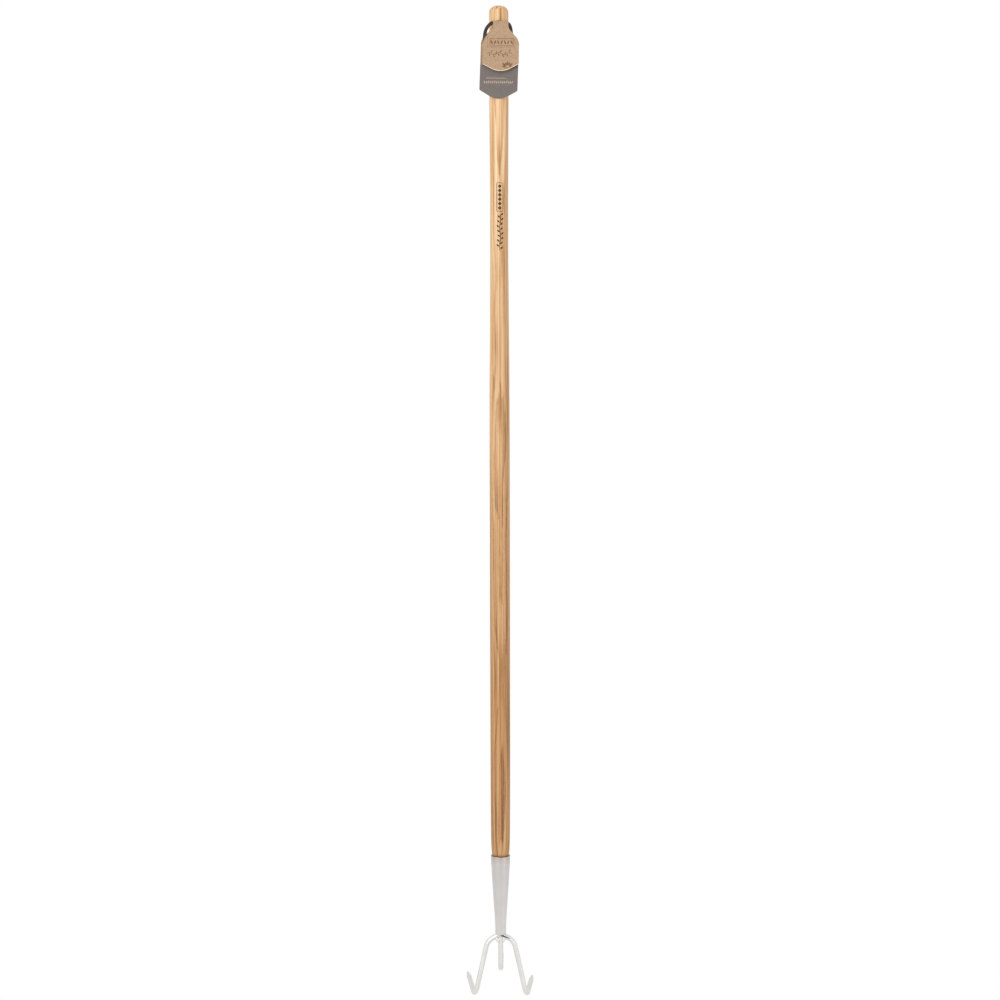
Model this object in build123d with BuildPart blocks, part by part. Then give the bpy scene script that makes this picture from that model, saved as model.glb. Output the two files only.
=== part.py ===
"""Long-handled three-prong garden cultivator.

An ash handle seated in a tapered steel socket, with two hooked outer tines bent from one rod, a hooked
centre tine, and a leather hanging thong that carries a folded card swing tag.

Frame: the origin is the centre of the hanging hole, on the handle's axis. +Z runs up along the handle,
-Y is the front, where the thong and the tag hang, and the claws point to +Y.
"""
import math
import os

from build123d import *

os.makedirs("parts", exist_ok=True)

# Heights along the tool, all measured down from the top of the handle
HOLE_DEPTH = 31.5  # centre of the hanging hole
RIM_DEPTH = 1373.5  # upper edge of the socket
COLLAR_LENGTH = 13.5  # straight stretch of the socket, rim included
NOSE_DEPTH = 1501.5  # lowest point of the socket's nose
CROWN_VERTEX_DEPTH = 1500.5  # where the lines of the two tine arms meet
CENTRE_VERTEX_DEPTH = 1563.3  # where the centre shank's line meets its claw's
OUTER_VERTEX_DEPTH = 1602.6  # the same for the outer tines

# Handle: (depth below the top, diameter)
END_DIAMETER = 31.6
END_ROUNDING = 9.0
END_STRAIGHT = 23.0  # the end stays cylindrical down to this depth
NECK_END = (44.0, 31.5)  # depth and diameter where the drilled stretch ends
BELLY = [
    (90, 31.6),
    (165, 31.3),
    (235, 30.2),
    (330, 29.3),
    (395, 29.3),
    (490, 30.7),
    (590, 32.2),
    (775, 32.6),
    (960, 32.5),
    (1060, 32.4),
    (1220, 31.9),
    (1335, 31.0),
]
HOLE_RADIUS = 5.0
HOLE_MOUTH_CHAMFER = 0.9
SHANK_DIAMETER = 27.7  # wood inside the socket's collar
SHANK_END_DIAMETER = 15.8
SHANK_IN_SOCKET = 104.5

# Socket
GLUE_GAP = 0.1
RIM_DIAMETER = 31.6
RIM_HEIGHT = 1.6
COLLAR_DIAMETER = 30.7
TAPER_TOP_DIAMETER = 30.0
TAPER_WAIST = (1446.5, 22.8)  # depth, outer diameter
TAPER_END = (1480.0, 18.5)
NOSE_DIAMETER = 17.6
NOSE_ROUNDING = 3.0

# Screw that pins the handle in the socket, at the back
SCREW_DEPTH = 1381.5
SCREW_HEAD_RADIUS = 3.4
SCREW_HEAD_HEIGHT = 1.6
SCREW_HOLE_RADIUS = 1.7
SCREW_SHANK_RADIUS = 1.65
SCREW_LENGTH = 15.0  # below the socket's surface
SCREW_SLOT = (0.8, 0.7)  # width, depth

# Tines
ROD = 4.0  # rod radius
CROWN_BEND = 14.0
SHOULDER_BEND = 23.0
CLAW_BEND = 12.0
ARM_SLOPE = math.radians(29.1)  # below the horizontal
SHANK_SLOPE = math.radians(12.6)  # from the vertical
SHOULDER_X = 21.6
LEFT_CLAW = (-13.0, 62.0, 18.6)  # from the bend's vertex to the tip
RIGHT_CLAW = (10.4, 58.0, 13.8)
CENTRE_CLAW = (1.0, 61.0, 17.5)
POINT_LENGTH = 12.0
POINT_RADIUS = 1.8
WELD_HALF_WIDTH = 8.8
WELD_DEPTH = (4.6, 12.5)  # below the crown's centre, at the arms and on the centre tine
WELD_THICKNESS = 6.0

# Thong, tag and knot
CORD_RADIUS = 2.25
STRAND_X = 2.3  # half the distance between the two strands in the hole
STRAND_Y = -19.3  # plane in which the loop hangs
SEAM_X = 6.9  # where the part held in the hole meets the part that swings
KNOT_RADIUS = 7.2
TAIL_LENGTH = 20.0

CARD = 0.5
TAG_X = 3.2  # the tag hangs a little to the right on the thong
FOLD_RADIUS = 2.8
NECK_HALF = 12.2
NECK_LENGTH = 13.0
# Each leaf: half its width, depth and rounding of its shoulders, depth of its straight sides, drop and
# rounding of the shallow point at its lower edge, and how far it hangs askew in degrees
FRONT_LEAF = (29.3, 32.2, 30.0, 70.2, 15.8, 32.0, 0.3)
BACK_LEAF = (30.65, 28.8, 20.0, 111.2, 17.9, 30.0, 2.1)
# Window in the back of the fold, where the two strands come through from the hole
WINDOW_HALF = 6.0
WINDOW_BELOW = 3.0
WINDOW_FRONT = 1.75  # height of its edge at the front of the fold


def height(depth):
    """Height in the part's frame of a point this far below the top of the handle."""
    return HOLE_DEPTH - depth


def write(solid, name):
    solid.label = name
    export_step(solid, f"parts/{name}.step")
    print(f"{name}: {len(solid.solids())} solid(s), {solid.volume:.1f} mm3")


# ---------------------------------------------------------------- handle
end_radius = END_DIAMETER / 2
rim_z = height(RIM_DEPTH)
shank_end_z = rim_z - SHANK_IN_SOCKET

with BuildPart() as handle:
    with BuildSketch(Plane.XZ):
        with BuildLine():
            top = height(0)
            Line((0, shank_end_z), (0, top))
            Line((0, top), (end_radius - END_ROUNDING, top))
            RadiusArc(
                (end_radius - END_ROUNDING, top), (end_radius, top - END_ROUNDING), END_ROUNDING
            )
            Line((end_radius, top - END_ROUNDING), (end_radius, height(END_STRAIGHT)))
            drilled_end = (NECK_END[1] / 2, height(NECK_END[0]))
            Line((end_radius, height(END_STRAIGHT)), drilled_end)
            Spline(
                drilled_end,
                *[(diameter / 2, height(depth)) for depth, diameter in BELLY],
                (SHANK_DIAMETER / 2, rim_z),
                tangents=[(0, -1), (-0.11, -1)],
            )
            Line((SHANK_DIAMETER / 2, rim_z), (SHANK_DIAMETER / 2, rim_z - COLLAR_LENGTH))
            Line((SHANK_DIAMETER / 2, rim_z - COLLAR_LENGTH), (SHANK_END_DIAMETER / 2, shank_end_z))
            Line((SHANK_END_DIAMETER / 2, shank_end_z), (0, shank_end_z))
        make_face()
    revolve(axis=Axis.Z)
    with BuildSketch(Plane.XZ):
        Circle(HOLE_RADIUS)
    extrude(amount=END_DIAMETER, both=True, mode=Mode.SUBTRACT)
    mouths = handle.edges().filter_by(
        lambda edge: abs(abs(edge.center().Y) - end_radius) < 1.5 and abs(edge.center().Z) < 1
    )
    chamfer(mouths, HOLE_MOUTH_CHAMFER)
    with BuildSketch(Plane.XZ.offset(-end_radius)):
        with Locations((0, height(SCREW_DEPTH))):
            Circle(SCREW_HOLE_RADIUS)
    extrude(amount=SCREW_LENGTH + 2, mode=Mode.SUBTRACT)
write(handle.part, "ash_handle")

# ---------------------------------------------------------------- socket
nose_z = height(NOSE_DEPTH)
collar_z = rim_z - COLLAR_LENGTH
crown_z = height(CROWN_VERTEX_DEPTH) - CROWN_BEND * (1 / math.cos(ARM_SLOPE) - 1)

with BuildPart() as socket:
    with BuildSketch(Plane.XZ):
        with BuildLine():
            rim, collar, waist = RIM_DIAMETER / 2, COLLAR_DIAMETER / 2, TAPER_WAIST[1] / 2
            Polyline(
                (0, rim_z),
                (rim, rim_z),
                (rim, rim_z - RIM_HEIGHT),
                (collar, rim_z - RIM_HEIGHT),
                (collar, collar_z),
                (TAPER_TOP_DIAMETER / 2, collar_z - 0.6),
            )
            Spline(
                (TAPER_TOP_DIAMETER / 2, collar_z - 0.6),
                (waist, height(TAPER_WAIST[0])),
                (TAPER_END[1] / 2, height(TAPER_END[0])),
                (NOSE_DIAMETER / 2, nose_z + NOSE_ROUNDING),
                tangents=[(-0.05, -1), (0, -1)],
            )
            RadiusArc(
                (NOSE_DIAMETER / 2, nose_z + NOSE_ROUNDING),
                (NOSE_DIAMETER / 2 - NOSE_ROUNDING, nose_z),
                NOSE_ROUNDING,
            )
            Polyline((NOSE_DIAMETER / 2 - NOSE_ROUNDING, nose_z), (0, nose_z), (0, rim_z))
        make_face()
    revolve(axis=Axis.Z)
    fillet(socket.edges().filter_by(GeomType.CIRCLE).group_by(Axis.Z)[-1], 0.6)
    with BuildSketch(Plane.XZ):
        with BuildLine():
            mouth = SHANK_DIAMETER / 2 + GLUE_GAP
            pocket_end = SHANK_END_DIAMETER / 2 + GLUE_GAP
            Polyline(
                (0, rim_z),
                (mouth, rim_z),
                (mouth, collar_z),
                (pocket_end, shank_end_z),
                (pocket_end, shank_end_z - 1),
                (0, shank_end_z - 1),
                close=True,
            )
        make_face()
    revolve(axis=Axis.Z, mode=Mode.SUBTRACT)
    with BuildSketch(Plane.XZ.offset(-end_radius)):
        with Locations((0, height(SCREW_DEPTH))):
            Circle(SCREW_HOLE_RADIUS)
    extrude(amount=end_radius, mode=Mode.SUBTRACT)


# ---------------------------------------------------------------- tines
def point(rod, tip, direction):
    """Grinds the end of a round rod to a blunt point."""
    length = math.hypot(*direction)
    unit = tuple(value / length for value in direction)
    blank = Plane(origin=tip, z_dir=tuple(-value for value in unit))
    with BuildPart(mode=Mode.PRIVATE) as grinding:
        with BuildSketch(blank):
            Circle(3 * ROD)
        extrude(amount=POINT_LENGTH)
        with BuildSketch(blank):
            Circle(POINT_RADIUS)
        with BuildSketch(blank.offset(POINT_LENGTH)):
            Circle(ROD + 0.02)
        loft(mode=Mode.SUBTRACT)
    return rod - grinding.part


def end_of(vertex, claw):
    return tuple(a + b for a, b in zip(vertex, claw))


shoulder_z = height(CROWN_VERTEX_DEPTH) - SHOULDER_X * math.tan(ARM_SLOPE)
outer_vertex_z = height(OUTER_VERTEX_DEPTH)
outer_vertex_x = SHOULDER_X + (shoulder_z - outer_vertex_z) * math.tan(SHANK_SLOPE)
left_vertex = (-outer_vertex_x, 0, outer_vertex_z)
right_vertex = (outer_vertex_x, 0, outer_vertex_z)
left_tip = end_of(left_vertex, LEFT_CLAW)
right_tip = end_of(right_vertex, RIGHT_CLAW)

with BuildPart() as arch:
    with BuildLine():
        run = FilletPolyline(
            left_tip,
            left_vertex,
            (-SHOULDER_X, 0, shoulder_z),
            (0, 0, height(CROWN_VERTEX_DEPTH)),
            (SHOULDER_X, 0, shoulder_z),
            right_vertex,
            right_tip,
            radius=[CLAW_BEND, SHOULDER_BEND, CROWN_BEND, SHOULDER_BEND, CLAW_BEND],
        )
    with BuildSketch(Plane(origin=run @ 0, z_dir=run % 0)):
        Circle(ROD)
    sweep()

outer_tines = point(point(arch.part, left_tip, LEFT_CLAW), right_tip, RIGHT_CLAW)

centre_vertex = (0, 0, height(CENTRE_VERTEX_DEPTH))
centre_tip = end_of(centre_vertex, CENTRE_CLAW)
with BuildPart() as centre_rod:
    with BuildLine():
        run = FilletPolyline(
            (0, 0, crown_z - ROD / 2), centre_vertex, centre_tip, radius=CLAW_BEND
        )
    with BuildSketch(Plane(origin=run @ 0, z_dir=run % 0)):
        Circle(ROD)
    sweep()
centre_tine = point(centre_rod.part, centre_tip, CENTRE_CLAW) - outer_tines

socket_solid = socket.part - outer_tines

# Weld metal in the corners between the arms and the centre tine
with BuildPart() as weld:
    with BuildSketch(Plane.XZ):
        with BuildLine():
            at_arms, at_tine = crown_z - WELD_DEPTH[0], crown_z - WELD_DEPTH[1]
            right = ThreePointArc(
                (WELD_HALF_WIDTH, at_arms),
                (ROD + 1.0, (at_arms + 2 * at_tine) / 3),
                (ROD - 0.4, at_tine),
            )
            Line(right @ 1, (-(right @ 1).X, at_tine))
            left = mirror(right, about=Plane.YZ)
            Polyline(right @ 0, (0, crown_z), (-WELD_HALF_WIDTH, at_arms))
        make_face()
    extrude(amount=WELD_THICKNESS / 2, both=True)
tine_weld = weld.part - outer_tines - centre_tine

# ---------------------------------------------------------------- screw
collar_radius = COLLAR_DIAMETER / 2
with BuildPart() as screw_blank:
    with BuildSketch(Plane.XZ.offset(-(collar_radius + SCREW_HEAD_HEIGHT))):
        with Locations((0, height(SCREW_DEPTH))):
            Circle(SCREW_HEAD_RADIUS)
    extrude(amount=SCREW_HEAD_HEIGHT + 0.8)
    fillet(screw_blank.edges().group_by(Axis.Y)[-1], 1.1)
    with BuildSketch(Plane.XZ.offset(-collar_radius)):
        with Locations((0, height(SCREW_DEPTH))):
            Circle(SCREW_SHANK_RADIUS)
    extrude(amount=SCREW_LENGTH)
    with BuildSketch(Plane.XZ.offset(-(collar_radius + SCREW_HEAD_HEIGHT))):
        with Locations((0, height(SCREW_DEPTH))):
            Rectangle(3 * SCREW_HEAD_RADIUS, SCREW_SLOT[0], rotation=25)
    extrude(amount=SCREW_SLOT[1], mode=Mode.SUBTRACT)
socket_screw = screw_blank.part - socket_solid

# ---------------------------------------------------------------- thong
# The loop's route in its own plane, (x, z), from the left strand round to the right one
LOOP = [
    (-SEAM_X, 0.0),
    (-11.5, 0.0),
    (-17.2, -5.6),
    (-21.0, -11.6),
    (-22.9, -20.5),
    (-22.4, -31.0),
    (-18.8, -42.0),
    (-12.0, -51.8),
    (-2.6, -58.0),
    (7.6, -57.4),
    (15.0, -50.0),
    (19.0, -39.5),
    (20.4, -28.0),
    (20.2, -17.0),
    (19.2, -7.2),
    (14.6, 0.0),
    (SEAM_X, 0.0),
]


def cord_radii(points):
    """0.45 of the shorter run beside each corner, over the tangent of half the turn."""
    radii = []
    for before, corner, after in zip(points, points[1:], points[2:]):
        inward, outward = Vector(*corner) - Vector(*before), Vector(*after) - Vector(*corner)
        turn = math.radians(inward.get_angle(outward))
        radii.append(0.45 * min(inward.length, outward.length) / math.tan(turn / 2))
    return radii


def cord_tube(points, radii):
    """A round tube along straight runs that are joined by arcs."""
    with BuildPart(mode=Mode.PRIVATE) as tube:
        with BuildLine():
            route = FilletPolyline(*points, radius=radii)
        with BuildSketch(Plane(origin=route @ 0, z_dir=route % 0)):
            Circle(CORD_RADIUS)
        sweep()
    expected = math.pi * CORD_RADIUS**2 * route.length
    print(f"cord tube: {route.length:.1f} mm long, {tube.part.volume / expected:.4f} of its volume")
    return tube.part


loop_points = [(x, STRAND_Y, z) for x, z in LOOP]
loop_radii = cord_radii(loop_points)
print("loop radii:", ", ".join(f"{radius:.1f}" for radius in loop_radii))
thong_loop = cord_tube(loop_points, loop_radii)

knot_y = end_radius + KNOT_RADIUS + 0.15
with BuildPart() as knot:
    with BuildSketch(Plane.XY):
        with Locations((0, knot_y)):
            Circle(KNOT_RADIUS)
            Rectangle(2 * KNOT_RADIUS, 4 * KNOT_RADIUS, align=(Align.MAX, Align.CENTER), mode=Mode.SUBTRACT)
    revolve(axis=Axis((0, knot_y, 0), (0, 1, 0)))
    for side, splay in ((-1, 5.0), (1, 8.0)):
        start = (side * 2.6, knot_y, 0)
        finish = (side * (2.6 + splay), knot_y - 0.8, -KNOT_RADIUS - TAIL_LENGTH)
        with BuildLine():
            tail = Line(start, finish)
        with BuildSketch(Plane(origin=tail @ 0, z_dir=tail % 0)):
            Circle(CORD_RADIUS)
        sweep(path=tail)
thong_knot = knot.part

strands = []
for side in (-1, 1):
    x = side * STRAND_X
    strand = cord_tube(
        [(x, knot_y, 0), (x, STRAND_Y, 0), (side * SEAM_X, STRAND_Y, 0)],
        [SEAM_X - STRAND_X - 0.15],
    )
    strands.append(strand - thong_knot)
thong_core = strands[0] + strands[1]

# ---------------------------------------------------------------- swing tag
fold_top = FOLD_RADIUS + CARD / 2


def leaf(face_y, half, shoulder, shoulder_rounding, side, drop, drop_rounding, lean):
    """A flat leaf below the fold; its depths are from the top of the fold."""
    turn = math.radians(lean)

    def at(x, depth):
        down = depth - fold_top
        return (
            TAG_X + x * math.cos(turn) - down * math.sin(turn),
            -down * math.cos(turn) - x * math.sin(turn),
        )

    with BuildPart(mode=Mode.PRIVATE) as card:
        with BuildSketch(Plane.XZ.offset(-face_y)):
            with BuildLine():
                outline = FilletPolyline(
                    (TAG_X + NECK_HALF, 0),
                    at(NECK_HALF + 0.5, NECK_LENGTH),
                    at(half, shoulder),
                    at(half, side),
                    at(0, side + drop),
                    at(-half, side),
                    at(-half, shoulder),
                    at(-NECK_HALF - 0.5, NECK_LENGTH),
                    (TAG_X - NECK_HALF, 0),
                    radius=[6, shoulder_rounding, 3, drop_rounding, 3, shoulder_rounding, 6],
                )
                Line(outline @ 1, outline @ 0)
            make_face()
        extrude(amount=CARD)
    return card.part


with BuildPart() as back_leaf:
    add(leaf(STRAND_Y + FOLD_RADIUS + CARD / 2, *BACK_LEAF))
    with BuildSketch(Plane.YZ.offset(TAG_X - NECK_HALF)):
        with Locations((STRAND_Y, 0)):
            Circle(fold_top)
            Circle(fold_top - CARD, mode=Mode.SUBTRACT)
            Rectangle(
                4 * FOLD_RADIUS, 4 * FOLD_RADIUS, align=(Align.CENTER, Align.MAX), mode=Mode.SUBTRACT
            )
    extrude(amount=2 * NECK_HALF)
    with BuildSketch(Plane.YZ.offset(-WINDOW_HALF)):
        with BuildLine():
            behind = STRAND_Y + 2 * FOLD_RADIUS
            ahead = STRAND_Y - 2 * FOLD_RADIUS
            Polyline(
                (behind, -WINDOW_BELOW),
                (STRAND_Y, -WINDOW_BELOW),
                (STRAND_Y, WINDOW_FRONT),
                (ahead, WINDOW_FRONT),
                (ahead, 2 * fold_top),
                (behind, 2 * fold_top),
                close=True,
            )
        make_face()
    extrude(amount=2 * WINDOW_HALF, mode=Mode.SUBTRACT)

front_leaf = leaf(STRAND_Y - FOLD_RADIUS + CARD / 2, *FRONT_LEAF)

# ---------------------------------------------------------------- export
write(socket_solid, "socket")
write(socket_screw, "socket_screw")
write(outer_tines, "outer_tines")
write(centre_tine, "centre_tine")
write(tine_weld, "tine_weld")
write(thong_core, "thong_core")
write(thong_loop, "thong_loop")
write(thong_knot, "thong_knot")
write(back_leaf.part, "tag_back_leaf")
write(front_leaf, "tag_front_leaf")
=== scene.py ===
"""The looks of a long-handled three-prong cultivator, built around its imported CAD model.

Everything is in metres in the part's own frame: the origin is the centre of the hanging hole, +Z runs up
along the handle, and -Y is the front.
"""
import math

import bmesh
import bpy
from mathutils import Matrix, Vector
from mathutils.bvhtree import BVHTree


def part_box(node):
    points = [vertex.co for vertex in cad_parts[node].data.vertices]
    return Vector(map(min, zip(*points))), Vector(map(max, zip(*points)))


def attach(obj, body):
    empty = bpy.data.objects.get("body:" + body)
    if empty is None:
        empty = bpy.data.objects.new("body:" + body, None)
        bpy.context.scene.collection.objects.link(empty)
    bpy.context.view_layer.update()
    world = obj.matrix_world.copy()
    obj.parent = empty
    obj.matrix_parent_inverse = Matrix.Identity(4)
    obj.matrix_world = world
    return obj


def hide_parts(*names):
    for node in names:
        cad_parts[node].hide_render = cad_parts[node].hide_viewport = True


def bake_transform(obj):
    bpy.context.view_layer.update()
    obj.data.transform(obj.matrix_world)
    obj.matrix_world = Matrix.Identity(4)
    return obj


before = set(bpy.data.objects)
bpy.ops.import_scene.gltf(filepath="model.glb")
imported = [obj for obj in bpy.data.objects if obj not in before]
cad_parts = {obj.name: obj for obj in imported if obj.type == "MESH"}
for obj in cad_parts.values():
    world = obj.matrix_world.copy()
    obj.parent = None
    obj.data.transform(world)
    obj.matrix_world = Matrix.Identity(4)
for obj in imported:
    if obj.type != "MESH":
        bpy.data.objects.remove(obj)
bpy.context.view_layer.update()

HANDLE_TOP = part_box("ash_handle")[1].z
SOCKET_LOW, SOCKET_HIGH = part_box("socket")
TINES_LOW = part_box("outer_tines")[0]


# ------------------------------------------------------------------ camera, light and floor
CAMERA_DISTANCE = 2.25
CAMERA_RIGHT = 0.0004
CAMERA_HEIGHT = HANDLE_TOP - 0.7982
CAMERA_ROLL = math.radians(0.126)
ROOM_IN_FRONT, ROOM_BEHIND = 0.56, 1.05  # strength of what the tool reflects
FLOOR_HALF = 30.0
FLOOR_GAP = 0.0015  # between the claws and the floor


def make_camera():
    data = bpy.data.cameras.new("camera")
    data.lens = 50
    data.sensor_width = 36
    camera = bpy.data.objects.new("camera", data)
    camera.location = (CAMERA_RIGHT, -CAMERA_DISTANCE, CAMERA_HEIGHT)
    camera.rotation_euler = (math.pi / 2, CAMERA_ROLL, 0)
    bpy.context.scene.collection.objects.link(camera)
    bpy.context.scene.camera = camera


def area_light(name, place, size, power):
    """A soft box that faces the middle of the tool."""
    data = bpy.data.lights.new(name, "AREA")
    data.shape = "RECTANGLE"
    data.size, data.size_y = size
    data.energy = power
    light = bpy.data.objects.new(name, data)
    light.location = place
    middle = Vector((0, 0, CAMERA_HEIGHT))
    light.rotation_euler = (middle - Vector(place)).to_track_quat("-Z", "Y").to_euler()
    light.visible_camera = False
    bpy.context.scene.collection.objects.link(light)


def make_world():
    """Pure white to the camera. What the tool reflects is a white backdrop behind it and a greyer room in
    front of it."""
    world = bpy.data.worlds.new("studio")
    world.use_nodes = True
    bpy.context.scene.world = world
    nodes, links = world.node_tree.nodes, world.node_tree.links
    nodes.clear()
    out = nodes.new("ShaderNodeOutputWorld")
    mix = nodes.new("ShaderNodeMixShader")
    seen = nodes.new("ShaderNodeBackground")
    room = nodes.new("ShaderNodeBackground")
    path = nodes.new("ShaderNodeLightPath")
    place = nodes.new("ShaderNodeTexCoord")
    split = nodes.new("ShaderNodeSeparateXYZ")
    depth = nodes.new("ShaderNodeMapRange")
    depth.inputs["From Min"].default_value = -0.5
    depth.inputs["From Max"].default_value = 0.5
    depth.inputs["To Min"].default_value = ROOM_IN_FRONT
    depth.inputs["To Max"].default_value = ROOM_BEHIND
    links.new(place.outputs["Generated"], split.inputs[0])
    links.new(split.outputs["Y"], depth.inputs["Value"])
    links.new(depth.outputs[0], room.inputs["Strength"])
    room.inputs["Color"].default_value = (1.0, 0.985, 0.965, 1)
    links.new(path.outputs["Is Camera Ray"], mix.inputs["Fac"])
    links.new(room.outputs[0], mix.inputs[1])
    links.new(seen.outputs[0], mix.inputs[2])
    seen.inputs["Color"].default_value = (1, 1, 1, 1)
    links.new(mix.outputs[0], out.inputs["Surface"])


def make_floor():
    """A white sheet that glows enough to meet the white backdrop with no edge."""
    z = TINES_LOW.z - FLOOR_GAP
    corners = [(x * FLOOR_HALF, y * FLOOR_HALF, z) for x, y in ((-1, -1), (1, -1), (1, 1), (-1, 1))]
    mesh = bpy.data.meshes.new("floor")
    mesh.from_pydata(corners, [], [(0, 1, 2, 3)])
    floor = bpy.data.objects.new("floor", mesh)
    bpy.context.scene.collection.objects.link(floor)
    material = bpy.data.materials.new("floor_white")
    material.use_nodes = True
    nodes = material.node_tree.nodes
    nodes.clear()
    out = nodes.new("ShaderNodeOutputMaterial")
    glow = nodes.new("ShaderNodeEmission")
    glow.inputs["Strength"].default_value = 1.0
    glow.inputs["Color"].default_value = (1, 1, 1, 1)
    material.node_tree.links.new(glow.outputs[0], out.inputs["Surface"])
    mesh.materials.append(material)


make_camera()
make_world()
make_floor()
area_light("key", (-1.5, -2.2, CAMERA_HEIGHT + 0.9), (1.6, 2.6), 46)
area_light("fill", (1.9, -1.8, CAMERA_HEIGHT + 0.2), (1.4, 2.6), 22)
bpy.context.scene.view_settings.view_transform = "Standard"


# ------------------------------------------------------------------ materials
def srgb(red, green, blue):
    """A display colour of 0 to 255 as linear values with alpha."""
    values = [v / 255 for v in (red, green, blue)]
    return (*[v / 12.92 if v <= 0.04045 else ((v + 0.055) / 1.055) ** 2.4 for v in values], 1)


class Shader:
    """A material's node tree, with short ways to add nodes. Its place is the piece's own coordinates at
    rest, which are the frame's metres."""

    def __init__(self, name, place_attribute=None):
        self.material = bpy.data.materials.new(name)
        self.material.use_nodes = True
        self.nodes = self.material.node_tree.nodes
        self.links = self.material.node_tree.links
        self.bsdf = self.nodes["Principled BSDF"]
        if place_attribute:
            node = self.nodes.new("ShaderNodeAttribute")
            node.attribute_name = place_attribute
            self.place = node.outputs["Vector"]
        else:
            self.place = self.nodes.new("ShaderNodeTexCoord").outputs["Object"]

    def put(self, value, socket):
        if isinstance(value, bpy.types.NodeSocket):
            self.links.new(value, socket)
        else:
            socket.default_value = value

    def set(self, **values):
        for name, value in values.items():
            self.put(value, self.bsdf.inputs[name.replace("_", " ")])

    def stretched(self, scale):
        node = self.nodes.new("ShaderNodeMapping")
        node.inputs["Scale"].default_value = scale
        self.put(self.place, node.inputs["Vector"])
        return node.outputs[0]

    def noise(self, vector, scale, detail=3.0, roughness=0.5):
        node = self.nodes.new("ShaderNodeTexNoise")
        self.put(vector, node.inputs["Vector"])
        node.inputs["Scale"].default_value = scale
        node.inputs["Detail"].default_value = detail
        node.inputs["Roughness"].default_value = roughness
        return node.outputs["Fac"]

    def math(self, operation, *values):
        node = self.nodes.new("ShaderNodeMath")
        node.operation = operation
        for socket, value in zip(node.inputs, values):
            self.put(value, socket)
        return node.outputs[0]

    def sum(self, *values):
        total = values[0]
        for value in values[1:]:
            total = self.math("ADD", total, value)
        return total

    def ramp(self, value, *stops):
        """stops are (position, colour or grey level)."""
        node = self.nodes.new("ShaderNodeValToRGB")
        elements = node.color_ramp.elements
        while len(elements) < len(stops):
            elements.new(0.5)
        for element, (position, colour) in zip(elements, stops):
            element.position = position
            element.color = colour if isinstance(colour, tuple) else (colour, colour, colour, 1)
        self.put(value, node.inputs["Fac"])
        return node.outputs["Color"]

    def mix(self, share, one, two):
        node = self.nodes.new("ShaderNodeMix")
        node.data_type = "RGBA"
        colours = [socket for socket in node.inputs if socket.type == "RGBA"]
        self.put(share, node.inputs["Factor"])
        self.put(one, colours[0])
        self.put(two, colours[1])
        return next(socket for socket in node.outputs if socket.type == "RGBA")

    def between(self, value, low, high, to_low=0.0, to_high=1.0):
        node = self.nodes.new("ShaderNodeMapRange")
        for socket, number in zip(node.inputs, (value, low, high, to_low, to_high)):
            self.put(number, socket)
        return node.outputs[0]

    def axes(self):
        node = self.nodes.new("ShaderNodeSeparateXYZ")
        self.put(self.place, node.inputs[0])
        return node.outputs["X"], node.outputs["Y"], node.outputs["Z"]

    def bump(self, height, distance, strength=1.0):
        node = self.nodes.new("ShaderNodeBump")
        node.inputs["Distance"].default_value = distance
        node.inputs["Strength"].default_value = strength
        self.put(height, node.inputs["Height"])
        self.links.new(node.outputs[0], self.bsdf.inputs["Normal"])


PITH = (-0.006, 0.052)  # x and y of the tree's centre, behind the handle
RING = 0.0031  # spacing of the growth rings


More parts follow.
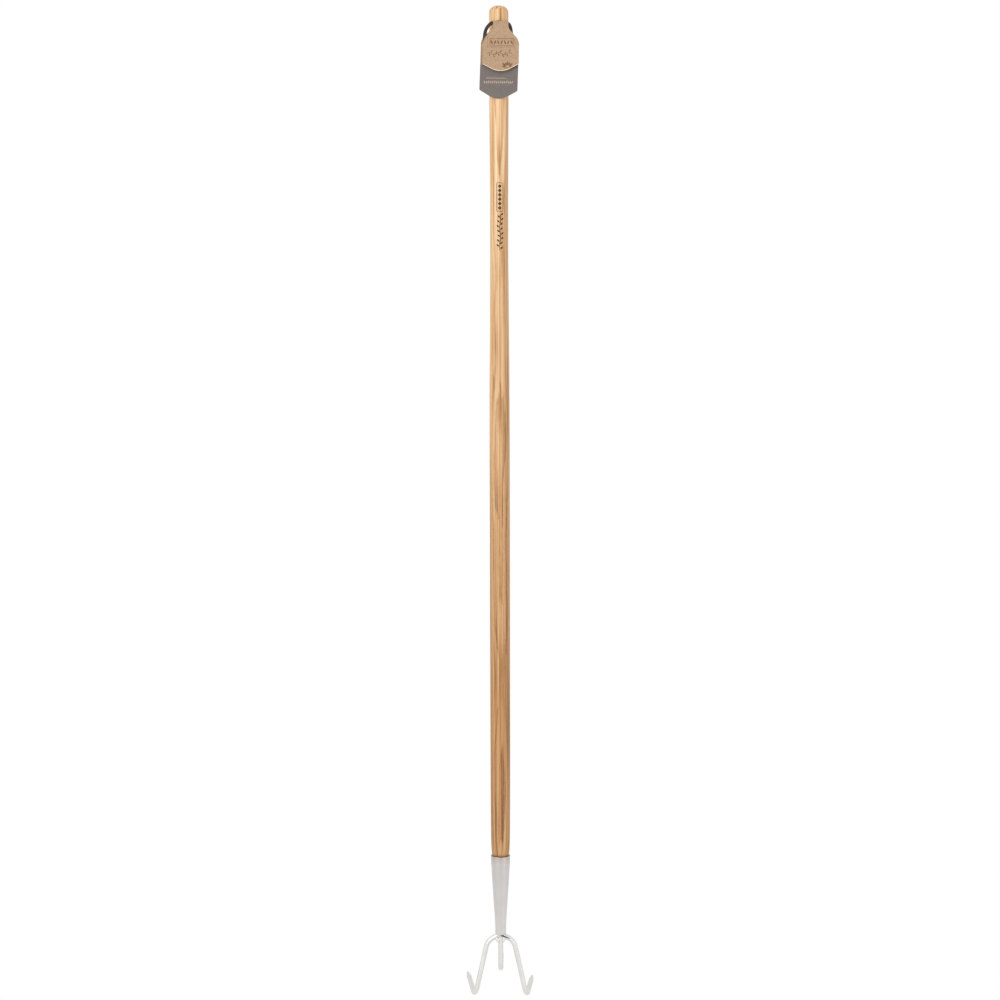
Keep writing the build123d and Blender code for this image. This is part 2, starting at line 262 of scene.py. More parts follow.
def ash_wood():
    """Lacquered ash: growth rings about a pith behind the handle, long open pores, and a warmer, darker
    stretch towards the socket."""
    s = Shader("ash_wood")
    x, y, z = s.axes()
    wander = s.noise(s.stretched((14, 14, 2.3)), 1.0, 2.0, 0.5)
    ripple = s.noise(s.stretched((110, 110, 7)), 1.0, 3.0, 0.6)
    across, behind = s.math("SUBTRACT", x, PITH[0]), s.math("SUBTRACT", y, PITH[1])
    radius = s.math("SQRT", s.sum(s.math("MULTIPLY", across, across), s.math("MULTIPLY", behind, behind)))
    radius = s.sum(radius, s.math("MULTIPLY", wander, 0.016), s.math("MULTIPLY", ripple, 0.0046))
    ring = s.math("FRACT", s.math("DIVIDE", radius, RING))
    ring_tone = s.ramp(ring, (0.0, 0.18), (0.16, 0.38), (0.42, 0.80), (0.8, 1.0), (0.94, 0.78), (1.0, 0.18))
    fibres = s.between(s.noise(s.stretched((1300, 1300, 12)), 1.0, 4.0, 0.6), 0.3, 0.7)
    bands = s.between(s.noise(s.stretched((210, 210, 2.4)), 1.0, 2.0, 0.5), 0.32, 0.68)
    streaks = s.between(s.noise(s.stretched((520, 520, 4.5)), 1.0, 2.0, 0.5), 0.34, 0.66)
    tone = s.sum(
        s.math("MULTIPLY", ring_tone, 0.30),
        s.math("MULTIPLY", bands, 0.32),
        s.math("MULTIPLY", streaks, 0.24),
        s.math("MULTIPLY", fibres, 0.14),
    )
    pale = s.ramp(tone, (0.22, srgb(138, 94, 44)), (0.5, srgb(197, 155, 107)), (0.78, srgb(227, 195, 155)))
    warm = s.ramp(tone, (0.22, srgb(110, 66, 26)), (0.5, srgb(158, 110, 61)), (0.78, srgb(187, 143, 95)))
    patches = s.noise(s.stretched((30, 30, 3.0)), 1.0, 2.0, 0.5)
    down = s.ramp(
        s.between(s.sum(z, s.math("MULTIPLY", patches, 0.16)), 0.03, SOCKET_HIGH.z),
        (0.0, 0.03),
        (0.15, 0.12),
        (0.50, 0.50),
        (0.70, 0.80),
        (0.83, 1.0),
        (0.88, 0.84),
        (0.95, 0.70),
        (1.0, 0.66),
    )
    colour = s.mix(down, pale, warm)
    # A redder side, right of the front
    red = s.between(s.sum(x, s.math("MULTIPLY", patches, 0.012)), 0.009, 0.016, 0.0, 0.20)
    colour = s.mix(red, colour, srgb(168, 114, 68))
    pores = s.ramp(s.noise(s.stretched((2600, 2600, 75)), 1.0, 2.0, 0.5), (0.30, 0.0), (0.40, 1.0))
    early = s.math("SUBTRACT", 1.0, ring_tone)
    pore_shade = s.math("MULTIPLY", s.math("SUBTRACT", 1.0, pores), s.math("MULTIPLY", early, 0.45))
    colour = s.mix(pore_shade, colour, srgb(112, 70, 36))
    # Painted shade: a dark ring where the wood enters the socket, standing in for the shadow in the gap at
    # the rim
    seam = s.between(z, SOCKET_HIGH.z + 0.0045, SOCKET_HIGH.z + 0.0006, 0.0, 0.72)
    colour = s.mix(seam, colour, srgb(78, 52, 34))
    s.set(Base_Color=colour, Specular_IOR_Level=0.42, Roughness=s.between(fibres, 0.0, 1.0, 0.36, 0.48))
    grooves = s.sum(s.math("MULTIPLY", pores, 0.7), s.math("MULTIPLY", fibres, 0.3))
    s.bump(grooves, 0.00007, 0.8)
    return s.material


# Ends of a painted dark reflection along the crown beside the weld, (x, z)
DARK_REFLECTION_LINE = ((0.0012, SOCKET_LOW.z - 0.0008), (0.0146, SOCKET_LOW.z - 0.0058))


def dark_reflection_mask(s, x, y, z):
    """1 on the painted dark reflection beside the weld, on the front only, and 0 away from it."""
    (x0, z0), (x1, z1) = DARK_REFLECTION_LINE
    length = math.hypot(x1 - x0, z1 - z0)
    ux, uz = (x1 - x0) / length, (z1 - z0) / length
    dx, dz = s.math("SUBTRACT", x, x0), s.math("SUBTRACT", z, z0)
    along = s.sum(s.math("MULTIPLY", dx, ux), s.math("MULTIPLY", dz, uz))
    off = s.math("ABSOLUTE", s.math("SUBTRACT", s.math("MULTIPLY", dx, uz), s.math("MULTIPLY", dz, ux)))
    beyond = s.math("MAXIMUM", s.math("SUBTRACT", 0.0, along), s.math("SUBTRACT", along, length))
    off = s.math("ADD", off, s.math("MAXIMUM", beyond, 0.0))
    reach = s.between(along, 0.0, length, 0.0019, 0.0005)
    front = s.between(y, 0.0005, -0.0005)
    return s.math("MULTIPLY", front, s.between(s.math("DIVIDE", off, reach), 1.25, 0.55))


def steel(name, tone, roughness, brushing, painted_rim_light=False, painted_dark_reflection=False):
    """Satin steel; brushing is the scale of its fine scratches along each axis."""
    s = Shader(name)
    x, y, z = s.axes()
    scratches = s.between(s.noise(s.stretched(brushing), 1.0, 4.0, 0.65), 0.3, 0.7)
    clouds = s.between(s.noise(s.place, 48, 3.0, 0.5), 0.3, 0.7)
    colour = s.mix(clouds, tuple(v * 0.93 for v in tone[:3]) + (1,), tone)
    if painted_rim_light:
        # Painted shade: a dark line in the gap at the top of the rim, where the wood meets the steel
        around = s.math("SQRT", s.sum(s.math("MULTIPLY", x, x), s.math("MULTIPLY", y, y)))
        high = s.between(z, SOCKET_HIGH.z - 0.0009, SOCKET_HIGH.z - 0.0002)
        inner = s.between(around, SOCKET_HIGH.x - 0.0003, SOCKET_HIGH.x - 0.0012)
        colour = s.mix(s.math("MULTIPLY", s.math("MULTIPLY", high, inner), 0.8), colour, srgb(70, 56, 46))
        # Painted reflection of the wood on the steel just below the rim
        painted_wood_reflection = s.between(z, SOCKET_HIGH.z - 0.013, SOCKET_HIGH.z - 0.002, 0.0, 0.6)
        colour = s.mix(painted_wood_reflection, colour, srgb(196, 177, 164))
        # Painted shade: the socket darker towards its top
        shade = s.between(z, SOCKET_LOW.z, SOCKET_HIGH.z, 0.0, 0.26)
        colour = s.mix(shade, colour, srgb(150, 146, 144))
    if painted_dark_reflection:
        # Painted dark reflection: a dark line on the front of the crown and weld below the socket's end
        colour = s.mix(s.math("MULTIPLY", dark_reflection_mask(s, x, y, z), 0.9), colour, srgb(52, 44, 40))
    roughening = s.sum(roughness, s.math("MULTIPLY", scratches, 0.10), s.math("MULTIPLY", clouds, 0.05))
    s.set(Base_Color=colour, Metallic=1.0, Roughness=roughening)
    s.bump(scratches, 0.00002, 0.5)
    return s.material


def leather():
    s = Shader("dark_leather")
    grain = s.noise(s.place, 1500, 4.0, 0.6)
    wear = s.noise(s.place, 210, 3.0, 0.5)
    colour = s.ramp(wear, (0.38, srgb(34, 23, 18)), (0.6, srgb(50, 35, 27)), (0.78, srgb(78, 56, 42)))
    s.set(Base_Color=colour, Specular_IOR_Level=0.35, Roughness=s.between(wear, 0.3, 0.7, 0.66, 0.48))
    s.bump(grain, 0.00014, 0.9)
    return s.material


def card(name, pale, middle, dark, place_attribute="rest"):
    """Recycled board, with flecks and short fibres."""
    s = Shader(name, place_attribute)
    fibre = s.noise(s.stretched((900, 900, 2400)), 1.0, 4.0, 0.65)
    cloud = s.noise(s.place, 300, 4.0, 0.65)
    flecks = s.ramp(s.noise(s.stretched((700, 700, 1500)), 1.0, 1.0, 0.4), (0.24, 1.0), (0.30, 0.0))
    colour = s.ramp(fibre, (0.25, dark), (0.5, middle), (0.8, pale))
    colour = s.mix(s.between(cloud, 0.36, 0.64, 0.0, 0.42), colour, dark)
    colour = s.mix(s.math("MULTIPLY", flecks, 0.35), colour, srgb(120, 88, 60))
    s.set(Base_Color=colour, Roughness=0.84, Specular_IOR_Level=0.22)
    s.bump(fibre, 0.00006, 0.7)
    return s.material


def ink(name, full, worn, place_attribute=None):
    """Print that lets the board's fibres through."""
    s = Shader(name, place_attribute)
    fibre = s.noise(s.stretched((900, 900, 2400)), 1.0, 4.0, 0.65)
    cloud = s.noise(s.place, 90, 3.0, 0.5)
    share = s.sum(s.between(fibre, 0.45, 0.85, 0.0, 0.6), s.between(cloud, 0.4, 0.7, 0.0, 0.3))
    s.set(Base_Color=s.mix(share, full, worn), Roughness=0.7, Specular_IOR_Level=0.3)
    s.bump(fibre, 0.00004, 0.6)
    return s.material


def burned():
    """Scorched wood, darkest in the middle of the strokes."""
    s = Shader("burned_mark")
    char = s.noise(s.stretched((900, 900, 120)), 1.0, 3.0, 0.6)
    s.set(
        Base_Color=s.ramp(char, (0.3, srgb(42, 20, 8)), (0.6, srgb(72, 40, 18)), (0.8, srgb(110, 68, 36))),
        Roughness=0.62,
    )
    s.bump(char, 0.00005, 0.8)
    return s.material


wood = ash_wood()
socket_steel = steel("satin_steel_socket", (0.69, 0.66, 0.64, 1), 0.29, (260, 260, 5200), True, True)
tine_steel = steel("satin_steel_tines", (0.75, 0.745, 0.73, 1), 0.44, (900, 900, 900), painted_dark_reflection=True)
weld_steel = steel("weld_bead", (0.80, 0.78, 0.76, 1), 0.24, (1300, 1300, 1300), painted_dark_reflection=True)
dark_leather = leather()
kraft = card("kraft_card", srgb(192, 165, 138), srgb(172, 145, 118), srgb(138, 110, 84))
worn_card = card("worn_card", srgb(236, 214, 188), srgb(222, 197, 168), srgb(200, 170, 138), None)
kraft_edge = card("card_cut_edge", srgb(240, 222, 200), srgb(228, 205, 180), srgb(206, 180, 152))
grey_ink = ink("grey_print", srgb(101, 95, 93), srgb(122, 110, 101), "rest")
brown_ink = ink("brown_print", srgb(112, 78, 54), srgb(150, 116, 86))
rust_ink = ink("rust_print", srgb(164, 112, 72), srgb(180, 142, 106))
pale_ink = ink("pale_print", srgb(190, 170, 146), srgb(160, 143, 126))
scorch = burned()


def paint(node, material):
    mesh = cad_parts[node].data
    mesh.materials.clear()
    mesh.materials.append(material)


paint("ash_handle", wood)
paint("socket", socket_steel)
paint("socket_screw", tine_steel)
paint("outer_tines", tine_steel)
paint("centre_tine", tine_steel)


# ------------------------------------------------------------------ helpers for pieces
def piece(name, bm, materials, body):
    """A smooth mesh object from bm, riding a body if one is named."""
    mesh = bpy.data.meshes.new(name)
    bmesh.ops.recalc_face_normals(bm, faces=bm.faces)
    bm.to_mesh(mesh)
    bm.free()
    for polygon in mesh.polygons:
        polygon.use_smooth = True
    for material in materials if isinstance(materials, tuple) else (materials,):
        mesh.materials.append(material)
    made = bpy.data.objects.new(name, mesh)
    bpy.context.scene.collection.objects.link(made)
    if body:
        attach(made, body)
    return made


def smooth_line(points, steps=10):
    """Points along the NURBS spline that has the given control points."""
    curve = bpy.data.curves.new("line", "CURVE")
    curve.dimensions = "3D"
    spline = curve.splines.new("NURBS")
    spline.points.add(len(points) - 1)
    for point, place in zip(spline.points, points):
        point.co = (*place, 1)
    spline.order_u = 3
    spline.use_endpoint_u = True
    spline.resolution_u = steps
    holder = bpy.data.objects.new("line", curve)
    mesh = bpy.data.meshes.new_from_object(holder)
    line = [vertex.co.copy() for vertex in mesh.vertices]
    bpy.data.objects.remove(holder)
    bpy.data.meshes.remove(mesh)
    bpy.data.curves.remove(curve)
    return line


def lace_section(width, thickness, corner, per_corner=4):
    """A rectangle with round corners, as (across, through) pairs."""
    points = []
    for quarter in range(4):
        turn = math.pi / 2 * quarter
        centre = (
            (width / 2 - corner) * (1 if quarter in (0, 3) else -1),
            (thickness / 2 - corner) * (1 if quarter < 2 else -1),
        )
        for step in range(per_corner + 1):
            angle = turn + math.pi / 2 * step / per_corner
            points.append((centre[0] + corner * math.cos(angle), centre[1] + corner * math.sin(angle)))
    return points


def sweep_lace(bm, line, across_start, section_at, twist_at):
    """Sweeps a section along a line. Its width starts along across_start and is carried along, turned by
    twist_at(share of the length) radians; section_at(share) gives its points."""
    across = Vector(across_start)
    lengths = [0.0]
    for before, after in zip(line, line[1:]):
        lengths.append(lengths[-1] + (after - before).length)
    rings = []
    for i, place in enumerate(line):
        tangent = (line[min(i + 1, len(line) - 1)] - line[max(i - 1, 0)]).normalized()
        across = (across - tangent * across.dot(tangent)).normalized()
        through = tangent.cross(across)
        share = lengths[i] / lengths[-1]
        turn = twist_at(share)
        wide = across * math.cos(turn) + through * math.sin(turn)
        thick = tangent.cross(wide)
        rings.append([bm.verts.new(place + wide * u + thick * v) for u, v in section_at(share)])
    for ring, following in zip(rings, rings[1:]):
        count = len(ring)
        for k in range(count):
            bm.faces.new((ring[k], ring[(k + 1) % count], following[(k + 1) % count], following[k]))
    bm.faces.new(rings[0])
    bm.faces.new(list(reversed(rings[-1])))


def ease(value, low, high):
    share = min(1.0, max(0.0, (value - low) / (high - low)))
    return share * share * (3 - 2 * share)


# ------------------------------------------------------------------ leather thong
LACE_WIDTH = 0.0054
LACE_THICKNESS = 0.0024
LACE_CORNER = 0.0007
STRAND_Y = -0.0193  # plane in which the loop hangs
STRAND_X = 0.0023
SEAM_X = 0.0069
# The loop's route in its plane, (x, z)
LOOP = [
    (-SEAM_X, 0.0),
    (-0.0115, 0.0),
    (-0.0172, -0.0056),
    (-0.0210, -0.0116),
    (-0.0229, -0.0205),
    (-0.0224, -0.0310),
    (-0.0188, -0.0420),
    (-0.0120, -0.0518),
    (-0.0026, -0.0580),
    (0.0076, -0.0574),
    (0.0150, -0.0500),
    (0.0190, -0.0395),
    (0.0204, -0.0280),
    (0.0202, -0.0170),
    (0.0192, -0.0072),
    (0.0146, 0.0),
    (SEAM_X, 0.0),
]
# Share of its full width that the lace keeps inside the fold of the tag, and in the hole
IN_FOLD = 0.42
IN_HOLE = 0.74
PINCH = 0.25  # how much thinner it is in both


def lace_profile(share, narrow=1.0):
    """The lace's section, with the slight unevenness of a hand-cut strip."""
    uneven = 1 + 0.022 * math.sin(31 * share + 1.3) + 0.014 * math.sin(77 * share)
    pinch = 1 - PINCH * min(1.0, (1 - narrow) / (1 - IN_HOLE))
    return lace_section(LACE_WIDTH * narrow * uneven, LACE_THICKNESS * pinch, LACE_CORNER)


def loop_twist(share):
    """Flat to the front beside the tag's neck, and turned a little round the bottom of the loop."""
    return 0.45 * ease(share, 0.14, 0.30) * (1 - ease(share, 0.64, 0.80))


def loop_profile(share):
    open_up = ease(share, 0.0, 0.024) * (1 - ease(share, 0.96, 1.0))
    return lace_profile(share, IN_FOLD + (1 - IN_FOLD) * open_up)


def end_profile(share):
    widening = (IN_HOLE - IN_FOLD) * ease(share, 0.05, 0.10) + (1 - IN_HOLE) * 0.7 * ease(share, 0.5, 0.8)
    return lace_profile(share, IN_FOLD + widening)


def make_loop():
    line = smooth_line([(x, STRAND_Y, z) for x, z in LOOP])
    bm = bmesh.new()
    sweep_lace(bm, line, (0, 0, 1), loop_profile, loop_twist)
    made = piece("hanging_loop", bm, dark_leather, "hang_loop")
    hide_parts("thong_loop")
    return made, line


HALF_KNOT_Y = 0.0212
HALF_KNOT_RADIUS = 0.0025
HALF_KNOT_REACH = 0.0050  # half its width
HALF_KNOT_STEPS = 9


def strand_route(side):
    """One end of the lace: out of the fold of the tag, through the handle, round the other end in a half
    knot behind the handle, and down as a tail."""
    route = [
        (side * SEAM_X, STRAND_Y, 0),
        (side * 0.0045, STRAND_Y, 0),
        (side * 0.0026, -0.0182, 0),
        (side * STRAND_X, -0.0150, 0),
        (side * STRAND_X, 0.0, 0),
        (side * STRAND_X, 0.0150, 0),
        (side * 0.0045, 0.0176, 0.0003),
        (side * 0.0078, 0.0205, 0.0006),
    ]
    for step in range(HALF_KNOT_STEPS + 1):
        x = side * HALF_KNOT_REACH * (1 - 2 * step / HALF_KNOT_STEPS)
        angle = 1.5 * math.pi * x / HALF_KNOT_REACH
        y = HALF_KNOT_Y + HALF_KNOT_RADIUS * math.sin(side * angle)
        route.append((x, y, side * HALF_KNOT_RADIUS * math.cos(angle)))
    return route + [
        (-side * 0.0078, 0.0196, -0.0022),
        (-side * 0.0092, 0.0202, -0.0080),
        (-side * 0.0088, 0.0212, -0.0165),
        (-side * (0.0098 if side > 0 else 0.0112), 0.0216, -0.0275),
    ]


def make_ends():
    bm = bmesh.new()
    for side in (-1, 1):
        sweep_lace(bm, smooth_line(strand_route(side)), (0, 0, 1), end_profile, lambda share: 0.0)
    made = piece("tied_ends", bm, dark_leather, "tool")
    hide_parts("thong_core", "thong_knot")
    return made


ends = make_ends()
loop, loop_line = make_loop()


# ------------------------------------------------------------------ folded tag
CARD = 0.0005
FOLD_INNER = 0.00255
FOLD_OUTER = FOLD_INNER + CARD
TAG_X = 0.0032
NECK_HALF = 0.0122
NECK_LENGTH = 0.013
# Each leaf: half its width, depth and rounding of its shoulders, depth of its straight sides, drop and
# rounding of the shallow point at its lower edge, and how far it hangs askew in degrees
FRONT_LEAF = (0.0293, 0.0322, 0.030, 0.0702, 0.0158, 0.032, 0.3)
BACK_LEAF = (0.03065, 0.0288, 0.020, 0.1112, 0.0179, 0.030, 2.1)
# Window in the fold and the top of the back leaf, where the lace comes through
WINDOW_HALF = 0.0050
WINDOW_BELOW = 0.0030
WINDOW_FRONT = math.radians(124)  # turn round the fold, from the back, at which the window ends
STEPS_AT_WINDOW, STEPS_PAST_WINDOW = 16, 14
PANEL_TOP = -0.0665
FRONT_FACE = STRAND_Y - FOLD_OUTER
PANEL_FACE = STRAND_Y + FOLD_INNER


def rounded(points, radii):
    """The flat outline through points, with an arc of the given radius at each inner one."""
    outline = [points[0]]
    for before, corner, after, radius in zip(points, points[1:], points[2:], radii):
        corner = Vector(corner)
        back, on = (Vector(before) - corner).normalized(), (Vector(after) - corner).normalized()
        half = back.angle(on) / 2
        centre = corner + (back + on).normalized() * radius / math.sin(half)
        start = corner + back * radius / math.tan(half) - centre
        sweep = math.pi - 2 * half
        turn = -1 if back.cross(on) > 0 else 1
        steps = max(2, math.ceil(sweep / math.radians(5)))
        for step in range(steps + 1):
            angle = turn * sweep * step / steps
            cosine, sine = math.cos(angle), math.sin(angle)
            turned = Vector((start.x * cosine - start.y * sine, start.x * sine + start.y * cosine))
            outline.append(centre + turned)
    return [(p[0], p[1]) for p in outline] + [points[-1]]


def leaf_outline(half, shoulder, shoulder_rounding, side, drop, drop_rounding, lean):
    """A leaf's (x, z) outline from the right end of the fold round to the left end."""
    turn = math.radians(lean)

    def at(x, depth):
        down = depth - FOLD_OUTER
        return (
            TAG_X + x * math.cos(turn) - down * math.sin(turn),
            -down * math.cos(turn) - x * math.sin(turn),
        )

    corners = [
        (TAG_X + NECK_HALF, 0),
        at(NECK_HALF + 0.0005, NECK_LENGTH),
        at(half, shoulder),
        at(half, side),
        at(0, side + drop),
        at(-half, side),
        at(-half, shoulder),
        at(-NECK_HALF - 0.0005, NECK_LENGTH),
        (TAG_X - NECK_HALF, 0),
    ]
    radii = (0.006, shoulder_rounding, 0.003, drop_rounding, 0.003, shoulder_rounding, 0.006)
    return rounded(corners, radii)


def cut_across(outline, z):
    """The outline with the points where it crosses height z added, and the places of those points."""
    whole, crossings = [outline[0]], []
    for before, after in zip(outline, outline[1:]):
        if (before[1] - z) * (after[1] - z) < 0:
            share = (z - before[1]) / (after[1] - before[1])
            crossings.append(len(whole))
            whole.append((before[0] + share * (after[0] - before[0]), z))
        whole.append(after)
    return whole, crossings


def make_card():
    """One folded sheet: the front leaf, the fold over the thong and the back leaf."""
    bm = bmesh.new()
    made = {}

    def pair(x, turn, z=0.0):
        """The outer and inner points of the sheet at this turn round the fold from the back, or at this
        height on a leaf."""
        key = (round(x * 1e7), round(turn * 1e5), round(z * 1e7))
        if key not in made:
            ends = [
                bm.verts.new((x, STRAND_Y + radius * math.cos(turn), z + radius * math.sin(turn)))
                for radius in (FOLD_OUTER, FOLD_INNER)
            ]
            made[key] = ends
        return made[key]

    def skin(pairs, layers=(0, 1), material=0):
        for layer in layers:
            way = pairs if layer == 0 else pairs[::-1]
            bm.faces.new([both[layer] for both in way]).material_index = material

    front = leaf_outline(*FRONT_LEAF)
    skin([pair(x, math.pi, z) for x, z in front] + [pair(x, math.pi) for x in (-WINDOW_HALF, WINDOW_HALF)])

    back, (right, left) = cut_across(leaf_outline(*BACK_LEAF), PANEL_TOP)
    notch = [
        (-WINDOW_HALF, 0.0),
        (-WINDOW_HALF, -WINDOW_BELOW),
        (WINDOW_HALF, -WINDOW_BELOW),
        (WINDOW_HALF, 0.0),
    ]
    whole = [pair(x, 0, z) for x, z in back + notch]
    skin(whole[::-1], layers=(0,))
    skin((whole[: right + 1] + whole[left:])[::-1], layers=(1,))
    skin(whole[right : left + 1][::-1], layers=(1,), material=2)

    columns = (TAG_X - NECK_HALF, -WINDOW_HALF, WINDOW_HALF, TAG_X + NECK_HALF)
    turns = [WINDOW_FRONT * step / STEPS_AT_WINDOW for step in range(STEPS_AT_WINDOW)]
    past = math.pi - WINDOW_FRONT
    turns += [WINDOW_FRONT + past * step / STEPS_PAST_WINDOW for step in range(STEPS_PAST_WINDOW + 1)]
    for low, high in zip(turns, turns[1:]):
        for column, (west, east) in enumerate(zip(columns, columns[1:])):
            if column == 1 and low < WINDOW_FRONT - 0.001:
                continue
            skin([pair(west, low), pair(east, low), pair(east, high), pair(west, high)][::-1])

    inner = {both[0]: both[1] for both in made.values()}
    outer_edges = [e for e in bm.edges if all(v in inner for v in e.verts)]
    rims = [e for e in outer_edges if len(e.link_faces) == 1]
    for edge in rims:
        one, two = edge.verts
        other = bm.edges.get((inner[one], inner[two]))
        face = bm.faces.new((one, two, inner[two], inner[one]))
        face.material_index = 1
        edge.smooth = False
        other.smooth = False
    card_piece = piece("folded_tag", bm, (kraft, kraft_edge, grey_ink), None)
    rest = card_piece.data.attributes.new("rest", "FLOAT_VECTOR", "POINT")
    rest.data.foreach_set("vector", [c for v in card_piece.data.vertices for c in v.co])
    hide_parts("tag_back_leaf", "tag_front_leaf")
    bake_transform(card_piece)


make_card()


# ------------------------------------------------------------------ print and burned mark
LIFT = 0.00005
SUNK = 0.00003
WORN_TOP = -0.0676  # the pale, worn strip follows the front leaf's edge below this height
WORN_WIDTH = 0.0013
FAINT = 0.00012  # width at the pointed end of a stroke
PEN = 0.0008  # width of a plain line
STALK = 0.0030  # gap between a plant's root and its leaves


def ribbon(bm, points, widths, place, columns=1):
    """A thin closed strip along flat (x, z) points. place(x, z, lift) gives the point at this height over
    the face it lies on."""
    layers = {LIFT: [], -SUNK: []}
    for i, ((x, z), width) in enumerate(zip(points, widths)):
        (x0, z0), (x1, z1) = points[max(i - 1, 0)], points[min(i + 1, len(points) - 1)]
        length = math.hypot(x1 - x0, z1 - z0)
        side_x, side_z = (z0 - z1) / length, (x1 - x0) / length
        for lift, rows in layers.items():
            offsets = [width * (k / columns - 0.5) for k in range(columns + 1)]
            rows.append([bm.verts.new(place(x + side_x * o, z + side_z * o, lift)) for o in offsets])
    top, base = layers[LIFT], layers[-SUNK]
    for i in range(len(points) - 1):
        for k in range(columns):
            bm.faces.new((top[i][k], top[i][k + 1], top[i + 1][k + 1], top[i + 1][k]))
            bm.faces.new((base[i][k], base[i + 1][k], base[i + 1][k + 1], base[i][k + 1]))
        for k in (0, columns):
            bm.faces.new((top[i][k], top[i + 1][k], base[i + 1][k], base[i][k]))
    for i in (0, -1):
        for k in range(columns):
            bm.faces.new((top[i][k], top[i][k + 1], base[i][k + 1], base[i][k]))


def line_mark(bm, start, end, width, place, columns=1, steps=8):
    points = [
        (start[0] + (end[0] - start[0]) * k / steps, start[1] + (end[1] - start[1]) * k / steps)
        for k in range(steps + 1)
    ]
    ribbon(bm, points, [width] * len(points), place, columns)


def leaf_mark(bm, start, end, width, place, columns=1, pointed=0.8):
    """A filled leaf from its stalk to its tip; a lozenge when pointed is 0."""
    steps = 8
    points, widths = [], []
    for k in range(steps + 1):
        share = k / steps
        points.append((start[0] + (end[0] - start[0]) * share, start[1] + (end[1] - start[1]) * share))
        swell = math.sin(math.pi * share) ** pointed if pointed else 1 - abs(2 * share - 1)
        widths.append(max(FAINT, width * swell))
    ribbon(bm, points, widths, place, columns)


def on_front(x, z, lift):
    return (x, FRONT_FACE - lift, z)


def on_panel(x, z, lift):
    return (x, PANEL_FACE - lift, z)


handle_tree = BVHTree.FromObject(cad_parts["ash_handle"], bpy.context.evaluated_depsgraph_get())


def on_handle(x, z, lift):
    """A point over the front of the handle."""
    hit = handle_tree.ray_cast(Vector((x, -0.1, z)), Vector((0, 1, 0)))[0]
    return (x, hit.y - lift, z)


def make_front_print():
    """A thin border, a band of leaves, a winding sprig and a small picture of a plant."""
    border = bmesh.new()
    line_mark(border, (-0.0178, -0.0160), (-0.0180, -0.0400), 0.0006, on_front)
    line_mark(border, (-0.0183, -0.0405), (0.0258, -0.0418), 0.0006, on_front)
    line_mark(border, (0.0255, -0.0413), (0.0257, -0.0280), 0.0006, on_front)
    piece("tag_border", border, rust_ink, "tag_cover")

    worn = bmesh.new()
    outline = leaf_outline(*FRONT_LEAF)
    low_edge = [p for p in outline if p[1] < WORN_TOP]
    inset = [(x, z + WORN_WIDTH * 0.6) for x, z in low_edge]
    ribbon(worn, inset, [WORN_WIDTH] * len(inset), on_front)
    piece("worn_card_edge", worn, worn_card, "tag_cover")

    dark = bmesh.new()
    west, east, top, low = -0.0140, 0.0232, -0.0268, -0.0384
    for z in (top, low):
        line_mark(dark, (west - PEN / 2, z), (east + PEN / 2, z), PEN, on_front)
    for x in (west, east):
        line_mark(dark, (x, top - PEN), (x, low + PEN), PEN, on_front)
    middle = (top + low) / 2
    count = 7
    for k in range(count):
        x = west + (east - west) * (k + 0.5) / count
        slant = 0.0014 if k % 2 else -0.0014
        leaf_mark(dark, (x - slant, middle - 0.0036), (x + slant, middle + 0.0036), 0.0024, on_front)
    sprig_start, sprig_end, sprig_z = -0.0190, 0.0208, -0.0508
    steps = 44
    stem = []
    for k in range(steps + 1):
        x = sprig_start + (sprig_end - sprig_start) * k / steps
        stem.append((x, sprig_z + 0.0017 * math.sin(k / steps * 5 * math.pi)))
    ribbon(dark, stem, [0.00075] * len(stem), on_front)
    for k in range(3, steps - 1, 4):
        x, z = stem[k]
        way = 1 if (k // 4) % 2 else -1
        reach = 0.0046 if (k // 4) % 3 else 0.0056
        leaf_mark(dark, (x + 0.0003, z + way * 0.0007), (x + 0.0026, z + way * reach), 0.0017, on_front)
    piece("tag_ornament", dark, brown_ink, "tag_cover")

    plant = bmesh.new()
    root = (0.0140, -0.0727)
    for degrees, reach, width in (
        (-78, 0.0094, 0.0026),
        (-52, 0.0106, 0.0030),
        (-26, 0.0088, 0.0024),
        (0, 0.0098, 0.0028),
        (26, 0.0088, 0.0024),
        (52, 0.0104, 0.0030),
        (76, 0.0072, 0.0022),
    ):
        away = Vector((math.sin(math.radians(degrees)), math.cos(math.radians(degrees))))
        stalk, tip = Vector(root) + away * STALK, Vector(root) + away * reach
        leaf_mark(plant, stalk, tip, width, on_front)
    ground = root[1] - 0.0009
    line_mark(plant, (root[0] - 0.0046, ground), (root[0] + 0.0030, ground), PEN, on_front)
    piece("tag_plant", plant, brown_ink, "tag_cover")


def make_panel_print():
    """A pale line and a row of lozenges and leaves on the grey panel."""
    row = bmesh.new()
    line_mark(row, (-0.0205, -0.0880), (0.0115, -0.0886), 0.0008, on_panel)
    count = 15
    for k in range(count):
        x = -0.0232 + 0.0445 * k / (count - 1)
        z = -0.0945 - 0.0006 * k / count
        if k % 3 == 1:
            leaf_mark(row, (x, z - 0.0025), (x, z + 0.0025), 0.0022, on_panel, pointed=0)
        else:
            slant = 0.0007 if k % 3 else -0.0007
            leaf_mark(row, (x - slant, z - 0.0024), (x + slant, z + 0.0024), 0.0016, on_panel)
    piece("panel_ornament", row, pale_ink, "hang_loop")


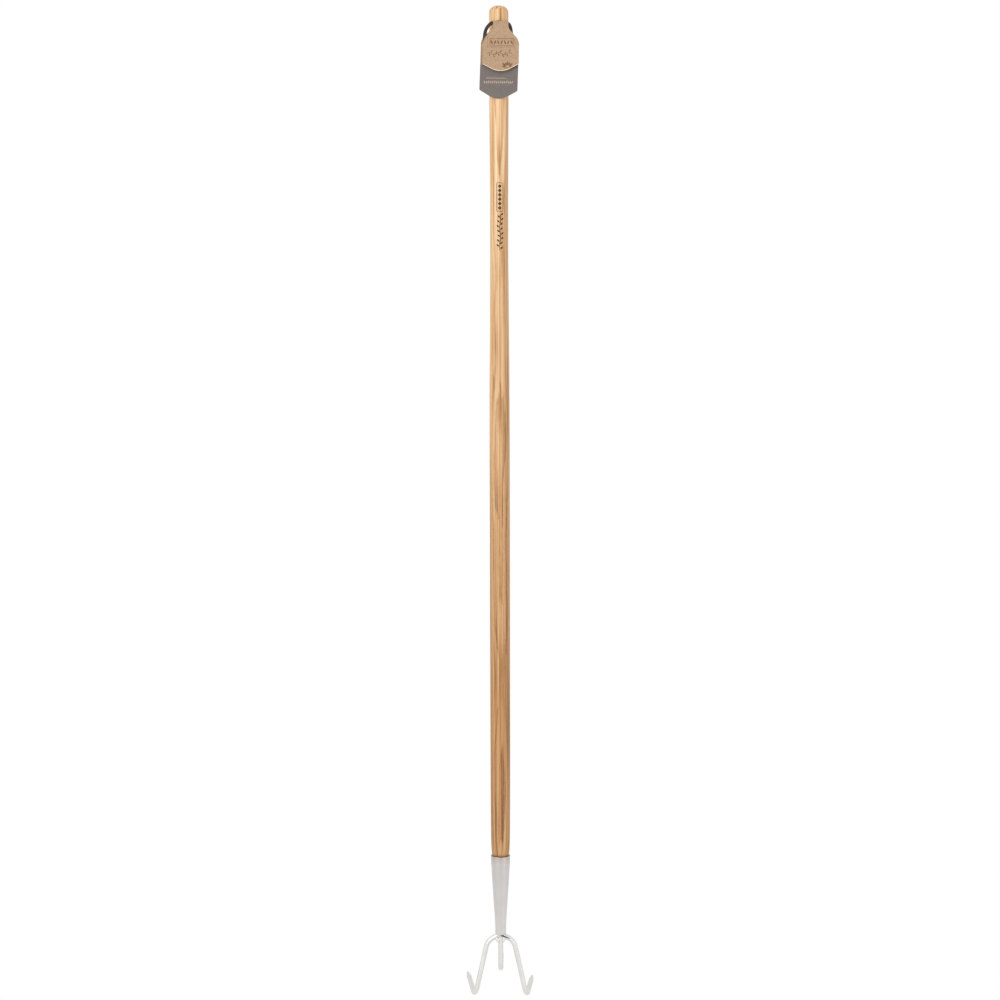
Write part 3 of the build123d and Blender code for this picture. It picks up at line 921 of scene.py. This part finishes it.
def make_burned_mark():
    """A chain of lozenges between two lines above a leafy sprig, burned into the front of the handle."""
    mark = bmesh.new()
    columns = 3
    chain_x, chain_top, chain_low, chain_half = 0.0011, -0.2560, -0.3020, 0.0052
    for side in (-1, 1):
        x = chain_x + side * chain_half
        line_mark(mark, (x, chain_top - PEN), (x, chain_low + PEN), PEN, on_handle, 1, 24)
    for z in (chain_top, chain_low):
        line_mark(mark, (chain_x - chain_half, z), (chain_x + chain_half, z), PEN, on_handle)
    links, margin = 6, 0.002
    for k in range(links):
        top = chain_top - margin - (chain_top - chain_low - 2 * margin) * k / links
        low = chain_top - margin - (chain_top - chain_low - 2 * margin) * (k + 1) / links
        leaf_mark(mark, (chain_x, low + FAINT), (chain_x, top - FAINT), 0.0062, on_handle, 4, pointed=0)
    sprig_x, sprig_top, sprig_low = 0.0015, -0.3070, -0.3650
    steps = 30
    stem = []
    for k in range(steps + 1):
        z = sprig_top + (sprig_low - sprig_top) * k / steps
        stem.append((sprig_x + 0.0009 * math.sin(k / steps * 4 * math.pi), z))
    ribbon(mark, stem, [0.0012] * len(stem), on_handle, columns)
    for k in range(1, steps, 2):
        x, z = stem[k]
        way = 1 if k % 4 == 1 else -1
        stalk, tip = (x + way * 0.0010, z + 0.0004), (x + way * 0.0047, z + 0.0044)
        leaf_mark(mark, stalk, tip, 0.0026, on_handle, columns)
    piece("burned_mark", mark, scorch, "tool")


make_front_print()
make_panel_print()
make_burned_mark()


# ------------------------------------------------------------------ weld
# Beads of the weld on its right half, from the front: x, distance from the middle plane, height below the
# socket's end, radius, all in mm. The left half and the back mirror them.
WELD_BEADS = (
    (5.4, 0.0, 7.6, 2.9),
    (6.9, 0.0, 7.2, 2.3),
    (5.0, 0.0, 10.2, 2.1),
    (4.3, 0.0, 12.3, 1.4),
    (4.4, 1.7, 8.6, 1.7),
    (2.4, 3.0, 6.6, 1.5),
    (3.6, 2.5, 9.8, 1.3),
    (6.0, 2.2, 0.9, 1.7),
    (4.4, 3.3, 1.0, 1.5),
    (2.8, 3.7, 1.1, 1.3),
    (7.4, 0.6, 1.3, 1.6),
)


WELD_VOXEL = 0.00035  # grid on which the beads melt together


def make_weld():
    """Overlapping beads melted into one lumpy seam."""
    bm = bmesh.new()
    for x, y, down, radius in WELD_BEADS:
        for side in (-1, 1):
            for face in (-1, 1) if y else (1,):
                place = Vector((side * x / 1000, face * y / 1000, SOCKET_LOW.z - down / 1000))
                made = bmesh.ops.create_icosphere(bm, subdivisions=3, radius=radius / 1000)
                bmesh.ops.translate(bm, verts=made["verts"], vec=place)
    rough = bpy.data.meshes.new("weld_beads")
    bm.to_mesh(rough)
    bm.free()
    holder = bpy.data.objects.new("weld_beads", rough)
    bpy.context.scene.collection.objects.link(holder)
    remesh = holder.modifiers.new("melt", "REMESH")
    remesh.mode = "VOXEL"
    remesh.voxel_size = WELD_VOXEL
    smooth = holder.modifiers.new("smooth", "SMOOTH")
    smooth.iterations = 6
    depsgraph = bpy.context.evaluated_depsgraph_get()
    melted = bpy.data.meshes.new_from_object(holder.evaluated_get(depsgraph))
    bpy.data.objects.remove(holder)
    bpy.data.meshes.remove(rough)
    bm = bmesh.new()
    bm.from_mesh(melted)
    bpy.data.meshes.remove(melted)
    weld = piece("weld_seam", bm, weld_steel, "tool")
    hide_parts("tine_weld")


make_weld()
